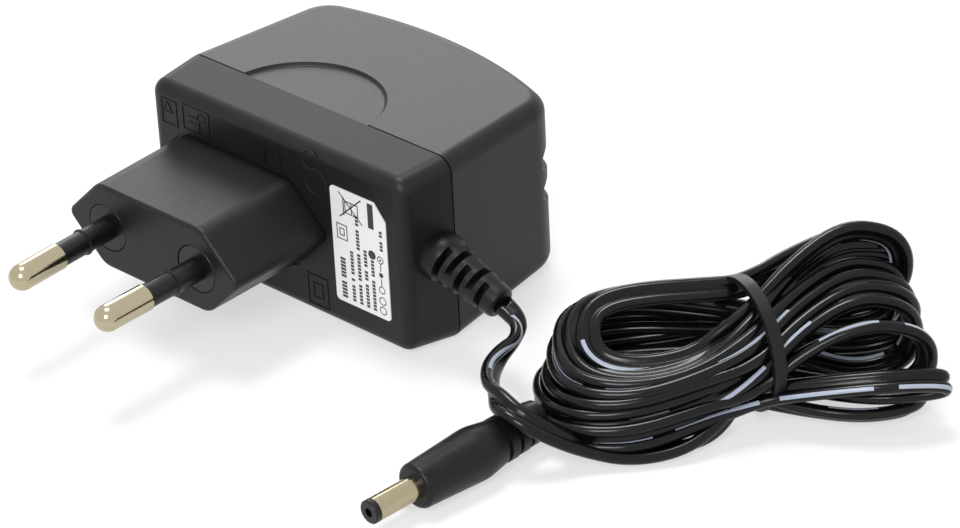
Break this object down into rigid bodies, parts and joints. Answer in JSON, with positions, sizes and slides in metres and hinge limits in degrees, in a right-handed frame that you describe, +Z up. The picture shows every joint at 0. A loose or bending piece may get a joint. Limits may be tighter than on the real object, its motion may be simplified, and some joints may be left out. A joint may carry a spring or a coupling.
{
  "type": "plug-in power adapter",
  "caption": "Black plug-in mains adapter with a round-pin plug block, a tied hank of flat low-voltage cord and a barrel plug.",
  "frame": {"origin": "under the middle of the housing, its pins and its strain relief, on the surface it rests on", "axes": "+X to the right along the front face, +Y from the pins into the housing, +Z up"},
  "size_m": [0.121, 0.085, 0.03],
  "materials": {
    "housing_plastic": "black ABS, fine satin texture",
    "pin_metal": "nickel-plated brass, polished",
    "sleeve_plastic": "black moulded PBT",
    "label_film": "white printed polyester film",
    "cord_pvc": "black soft PVC, satin",
    "board_laminate": "phenolic paper laminate",
    "ferrite": "ground ferrite",
    "bobbin_plastic": "black phenolic",
    "winding_tape": "yellow polyester tape",
    "capacitor_sleeve": "dark shrink sleeve",
    "inductor_sleeve": "black shrink sleeve",
    "resistor_body": "painted ceramic",
    "diode_body": "moulded epoxy",
    "chip_case": "moulded epoxy",
    "disc_coating": "blue epoxy coating",
    "wire_brown": "PVC insulation",
    "wire_blue": "PVC insulation",
    "wire_red": "PVC insulation",
    "wire_black": "PVC insulation",
    "tie_plastic": "black PVC-coated tie",
    "plug_nickel": "nickel-plated brass",
    "contact_metal": "tin-plated brass"
  },
  "bodies": {
    "root": {"front_shell": "housing_plastic", "rear_shell": "housing_plastic", "mains_pin_left": "pin_metal", "mains_pin_right": "pin_metal", "pin_sleeve_left": "sleeve_plastic", "pin_sleeve_right": "sleeve_plastic", "rating_label": "label_film", "strain_relief": "cord_pvc", "circuit_board": "board_laminate", "transformer_core": "ferrite", "transformer_bobbin": "bobbin_plastic", "transformer_winding": "winding_tape", "input_capacitor_front": "capacitor_sleeve", "input_capacitor_back": "capacitor_sleeve", "output_capacitor": "capacitor_sleeve", "ripple_capacitor": "capacitor_sleeve", "filter_inductor": "inductor_sleeve", "fusible_resistor": "resistor_body", "rectifier_diode_1": "diode_body", "rectifier_diode_2": "diode_body", "rectifier_diode_3": "diode_body", "rectifier_diode_4": "diode_body", "output_diode": "diode_body", "switching_chip": "chip_case", "optocoupler": "chip_case", "safety_capacitor": "disc_coating", "mains_wire_left": "wire_brown", "mains_wire_right": "wire_blue", "output_wire_positive": "wire_red", "output_wire_negative": "wire_black", "cord_lead": "cord_pvc", "cord_tail": "cord_pvc", "cord_bundle": "cord_pvc", "cord_tie": "tie_plastic", "plug_body": "cord_pvc", "plug_barrel": "plug_nickel", "plug_insulator": "sleeve_plastic", "plug_contact": "contact_metal"}
  },
  "joints": []
}
